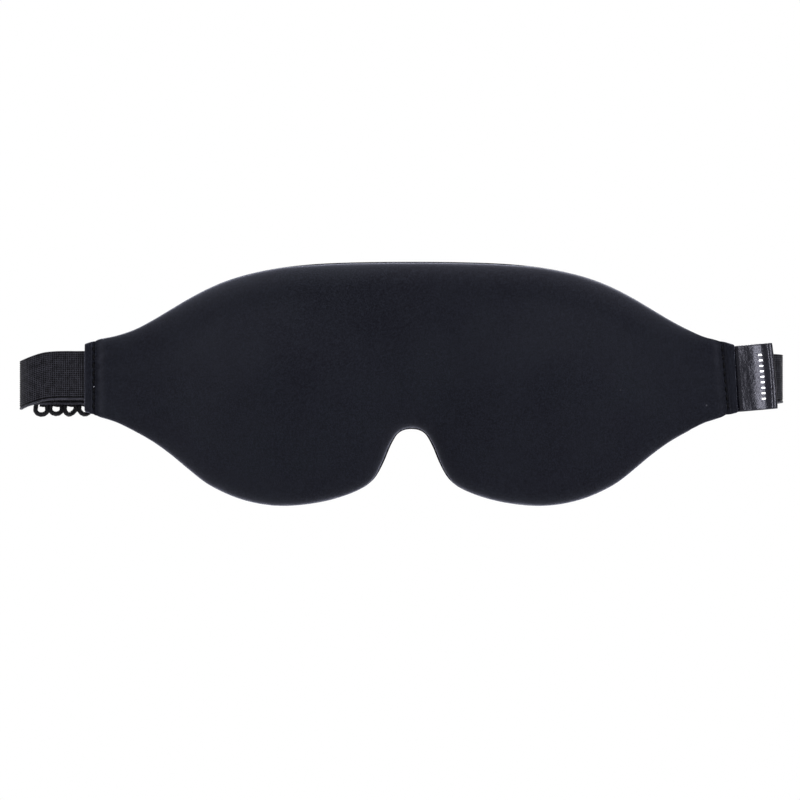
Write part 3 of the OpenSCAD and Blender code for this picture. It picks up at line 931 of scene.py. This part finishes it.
def cord_loops():
    parts = []
    drop = tape_low.z - loops_low.z - CORD_R
    for k in range(loop_count):
        x = loops_low.x + 2.7 * MM + k * LOOP_PITCH * rear_along[0]
        free = k % (loop_count - 1) > 0  # the peg fits through the first loop and the last
        swing = random.uniform(-0.6, 0.6) * MM * free
        width = random.uniform(2.7, 3.0) * MM
        yaw = math.radians(LOOP_YAWS[k % len(LOOP_YAWS)] + random.uniform(-4, 4))
        short = random.uniform(0, 0.5) * MM * free
        parts.append(twisted_cord(cord_path(x, swing, width, drop - short, yaw), CORD_R))
    xs = np.linspace(tape_low.x + 0.8 * MM, tape_high.x - 0.8 * MM, 120)
    rise = 0.2 * MM * np.sin(xs * 2 * math.pi / LOOP_PITCH)
    binding = [on_rear(x, TAPE_OFF, tape_low.z - 0.2 * MM + up) for x, up in zip(xs, rise)]
    parts.append(twisted_cord(np.array(binding), 0.62 * CORD_R))
    obj = make_mesh("cord_loops", *join(parts), "rear_strap")
    return finish_piece(obj, CORD, "cord", "adjust_loops")


def tape_stitching():
    parts = []
    for row in (1.5 * MM, TAPE_W - 1.5 * MM):
        count = round((tape_high.x - tape_low.x) / (2.7 * MM))
        for i in range(count):
            x = tape_low.x + (i + 0.5) * (tape_high.x - tape_low.x) / count
            a = on_rear(x - 0.9 * MM, TAPE_OFF + TAPE_T / 2 + 0.02 * MM, tape_low.z + row)
            b = on_rear(x + 0.9 * MM, TAPE_OFF + TAPE_T / 2 + 0.02 * MM, tape_low.z + row + 0.08 * MM)
            parts.append(thread_stitch(a, b, 0.16 * MM, rear_out))
    obj = make_mesh("tape_thread", *join(parts), "rear_strap")
    return finish_piece(obj, THREAD, "thread", "tape_stitches")


tape()
cord_loops()
tape_stitching()

# ---------------------------------------------------------------- the sewn end and the hook
bar = Vector(joints["hook_swivel"]["pos_m"])
strap_way = -Vector(joints["hook_position"]["axis"])
strap_way_out = Vector((-strap_way.y, strap_way.x, 0))
TURN_R, SLEEVE_LEN = 1.6 * MM, 17 * MM
STRAP_OFF = -TURN_R  # the strap's middle, from the bar


def by_bar(along, out, z=0.0):
    p = bar + strap_way * along + strap_way_out * out
    return np.array([p.x, p.y, REAR_Z + z])


def sleeve():
    """The end of the right-hand elastic, turned round the hook's bar and sewn back on itself."""
    resting = STRAP_OFF + STRAP_T + 0.1 * MM
    path = [by_bar(x, STRAP_OFF) for x in np.linspace(SLEEVE_LEN, 0.3 * MM, 12)]
    path += [by_bar(-TURN_R * math.sin(a), -TURN_R * math.cos(a)) for a in np.linspace(0, math.pi, 16)]
    path += [by_bar(9 * MM * t, mix(TURN_R, resting, float(smooth(t)))) for t in np.linspace(0.08, 1, 12)]
    path += [by_bar(x, resting) for x in np.linspace(9.8 * MM, SLEEVE_LEN - 1 * MM, 8)]
    obj = webbing("strap_end", np.array(path), STRAP_W, STRAP_T, step=0.5 * MM)
    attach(obj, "strap_end")
    finish_piece(obj, ELASTIC, "elastic", "strap_end_sleeve")


def sleeve_stitching():
    """A bar tack across the sewn end: two rows of upright stitches."""
    parts = []
    out = STRAP_OFF + 1.5 * STRAP_T + 0.12 * MM
    for x in (10.5 * MM, 14.5 * MM):
        for i in range(6):
            z = (i - 2.5) * 2.9 * MM
            a, b = by_bar(x, out, z - 1.1 * MM), by_bar(x + 0.15 * MM, out, z + 1.1 * MM)
            parts.append(thread_stitch(a, b, 0.18 * MM, strap_way_out))
    obj = make_mesh("end_thread", *join(parts), "strap_end")
    return finish_piece(obj, THREAD, "thread", "sleeve_stitches")


sleeve()
sleeve_stitching()

hook = frame["nodes"]["hook"]
hook.data.materials.clear()
hook.data.materials.append(PLASTIC)
add_modifier(hook, "WELD", merge_threshold=0.005 * MM)
add_modifier(hook, "BEVEL", width=0.28 * MM, segments=3, angle_limit=math.radians(35), harden_normals=False)

# ---------------------------------------------------------------- the label
LABEL_W, LABEL_LEN, LABEL_T, LABEL_BEND = 24 * MM, 13 * MM, 0.3 * MM, 0.7 * MM
label_root = Vector(joints["label_flip"]["pos_m"])
label_up = -Vector(joints["label_flip"]["axis"]).normalized()
hem_along = Vector((math.cos(HEM_ANGLE), math.sin(HEM_ANGLE), 0))
label_out = (hem_along - label_up * hem_along.dot(label_up)).normalized()
label_back = label_up.cross(label_out).normalized()
LABEL_FLAT = LABEL_LEN - 0.5 * MM - LABEL_BEND
LABEL_RUN = LABEL_FLAT * 2 + math.pi * LABEL_BEND


def label_point(s, v, lift=0.0):
    """A point of the label: s runs from its front root round the fold to its back root, v is the height."""
    if s <= LABEL_FLAT:
        along, depth = s, -mix(0.2 * MM, LABEL_BEND, float(smooth(2 * s / LABEL_FLAT)))
        normal = (0.0, -1.0)
    elif s >= LABEL_RUN - LABEL_FLAT:
        along = LABEL_RUN - s
        depth = mix(0.2 * MM, LABEL_BEND, float(smooth(2 * along / LABEL_FLAT)))
        normal = (0.0, 1.0)
    else:
        a = (s - LABEL_FLAT) / LABEL_BEND
        along, depth = LABEL_FLAT + LABEL_BEND * math.sin(a), -LABEL_BEND * math.cos(a)
        normal = (math.sin(a), -math.cos(a))
    share = min(max(along / LABEL_FLAT, 0), 1)
    tall = v / (LABEL_W / 2)
    side = 1 if depth > 0 else -1
    puff = 0.4 * MM * math.sin(math.pi * share) * (1 - 0.4 * tall * tall)
    valley = 0.42 * MM * float(smooth((share - 0.68) / 0.24))
    valley -= 0.25 * MM * float(smooth((share - 0.91) / 0.06))
    crumple = (1 - smooth(share / 0.6)) * min(1, 4 * share)
    crease = 0.16 * MM * noise.noise(Vector((along / (2.4 * MM), v / (6 * MM), 2.0 + side)))
    crease += 0.07 * MM * noise.noise(Vector((along / (0.9 * MM), v / (1.4 * MM), 7.0 + side)))
    depth += side * (puff - valley) + crease * (0.15 + crumple)
    if along < 0:
        depth -= along * 0.9
    along += (0.6 * MM + 0.35 * MM * (1 - tall * tall)) * share
    v = 1.015 * v - 0.45 * MM
    out, back = along + lift * normal[0], depth + lift * normal[1]
    return np.array(label_root + label_out * out + label_back * back + label_up * v)


def label_band():
    across = 49
    vs = np.linspace(-LABEL_W / 2, LABEL_W / 2, across)
    sewn_in = 1.9 * MM
    ss = np.concatenate([
        np.linspace(-sewn_in, LABEL_FLAT, 64), np.linspace(LABEL_FLAT, LABEL_RUN - LABEL_FLAT, 18)[1:-1],
        np.linspace(LABEL_RUN - LABEL_FLAT, LABEL_RUN + sewn_in, 64)])
    rings, uvs = [], []
    for s in ss:
        outer = [label_point(s, v, LABEL_T / 2) for v in vs]
        inner = [label_point(s, v, -LABEL_T / 2) for v in vs[::-1]]
        rings.append(outer + inner)
        uvs.extend([(s, v) for v in vs] + [(s, v) for v in vs[::-1]])
    points, faces = ring_tube(rings)
    obj = make_mesh("folded_label", points, faces, uvs=uvs)
    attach(obj, "label")
    return finish_piece(obj, LABEL, "label", "label")


def label_marks():
    """A plain row of short bars, which follow the label's surface."""
    parts = []
    count, pitch = 9, 2 * MM
    wide, tall = 1.25 * MM, 0.55 * MM
    middle = 7.6 * MM
    for i in range(count):
        z = (i - (count - 1) / 2) * pitch
        rings = []
        for s in np.linspace(middle - wide / 2, middle + wide / 2, 6):
            low, high = z - tall / 2, z + tall / 2
            vs = np.linspace(low, high, 4)
            rings.append(
                [label_point(s, v, LABEL_T / 2 + 0.05 * MM) for v in vs]
                + [label_point(s, v, LABEL_T / 2 - 0.05 * MM) for v in vs[::-1]])
        parts.append(ring_tube(rings))
    obj = make_mesh("label_bars", *join(parts), "label", flat=True)
    return finish_piece(obj, INK, "label_print", "label_print")


label_band()
label_marks()


# ---------------------------------------------------------------- light and camera
def area_light(name, place, target, size, power):
    data = bpy.data.lights.new(name, "AREA")
    data.shape = "RECTANGLE"
    data.size, data.size_y = size
    data.energy = power
    light = bpy.data.objects.new(name, data)
    light.location = place
    light.rotation_euler = (Vector(target) - Vector(place)).to_track_quat("-Z", "Y").to_euler()
    bpy.context.scene.collection.objects.link(light)


def lights():
    world = bpy.data.worlds.new("studio")
    bpy.context.scene.world = world
    world.use_nodes = True
    background = world.node_tree.nodes["Background"]
    background.inputs["Color"].default_value = (1, 1, 1, 1)
    background.inputs["Strength"].default_value = 1.0
    area_light("key", (0.05, -0.8, 1.4), (0, 0, 0), (0.9, 0.6), 46)
    area_light("strip", (0.78, -1.5, 0.0), (0.13, 0, 0), (0.2, 1.5), 62)
    area_light("top", (0, 0.25, 1.2), (0, 0, 0), (2.6, 0.6), 105)
    area_light("left", (-1.3, 0.1, 0.2), (-0.13, 0, 0), (0.3, 0.9), 22)
    area_light("behind", (0.5, 1.3, 0.7), (0, 0, 0), (1.0, 0.8), 60)


def floor():
    """A plain pale floor well below the mask, which sends some light back up."""
    level, reach = cad_box[0][2] - 0.2, 1.5
    corners = [(reach * x, reach * y, level) for x, y in ((-1, -1), (1, -1), (1, 1), (-1, 1))]
    obj = make_mesh("floor", corners, [(0, 1, 2, 3)])
    paper, _, _ = node_material("floor_paper", (0.6, 0.6, 0.61), 0.9)
    obj.data.materials.append(paper)


def camera():
    """Straight on, from far enough away to look flat, with the mask a little above the middle."""
    data = bpy.data.cameras.new("camera")
    cam = bpy.data.objects.new("camera", data)
    bpy.context.scene.collection.objects.link(cam)
    distance, span = 4.0, 295 * MM
    data.lens = data.sensor_width * distance / span
    data.clip_end = 20
    cam.location = (-4.2 * MM, -distance, -8.3 * MM)
    cam.rotation_euler = (math.pi / 2, 0, 0)
    bpy.context.scene.camera = cam


lights()
floor()
camera()
bpy.context.scene.view_settings.view_transform = "Standard"
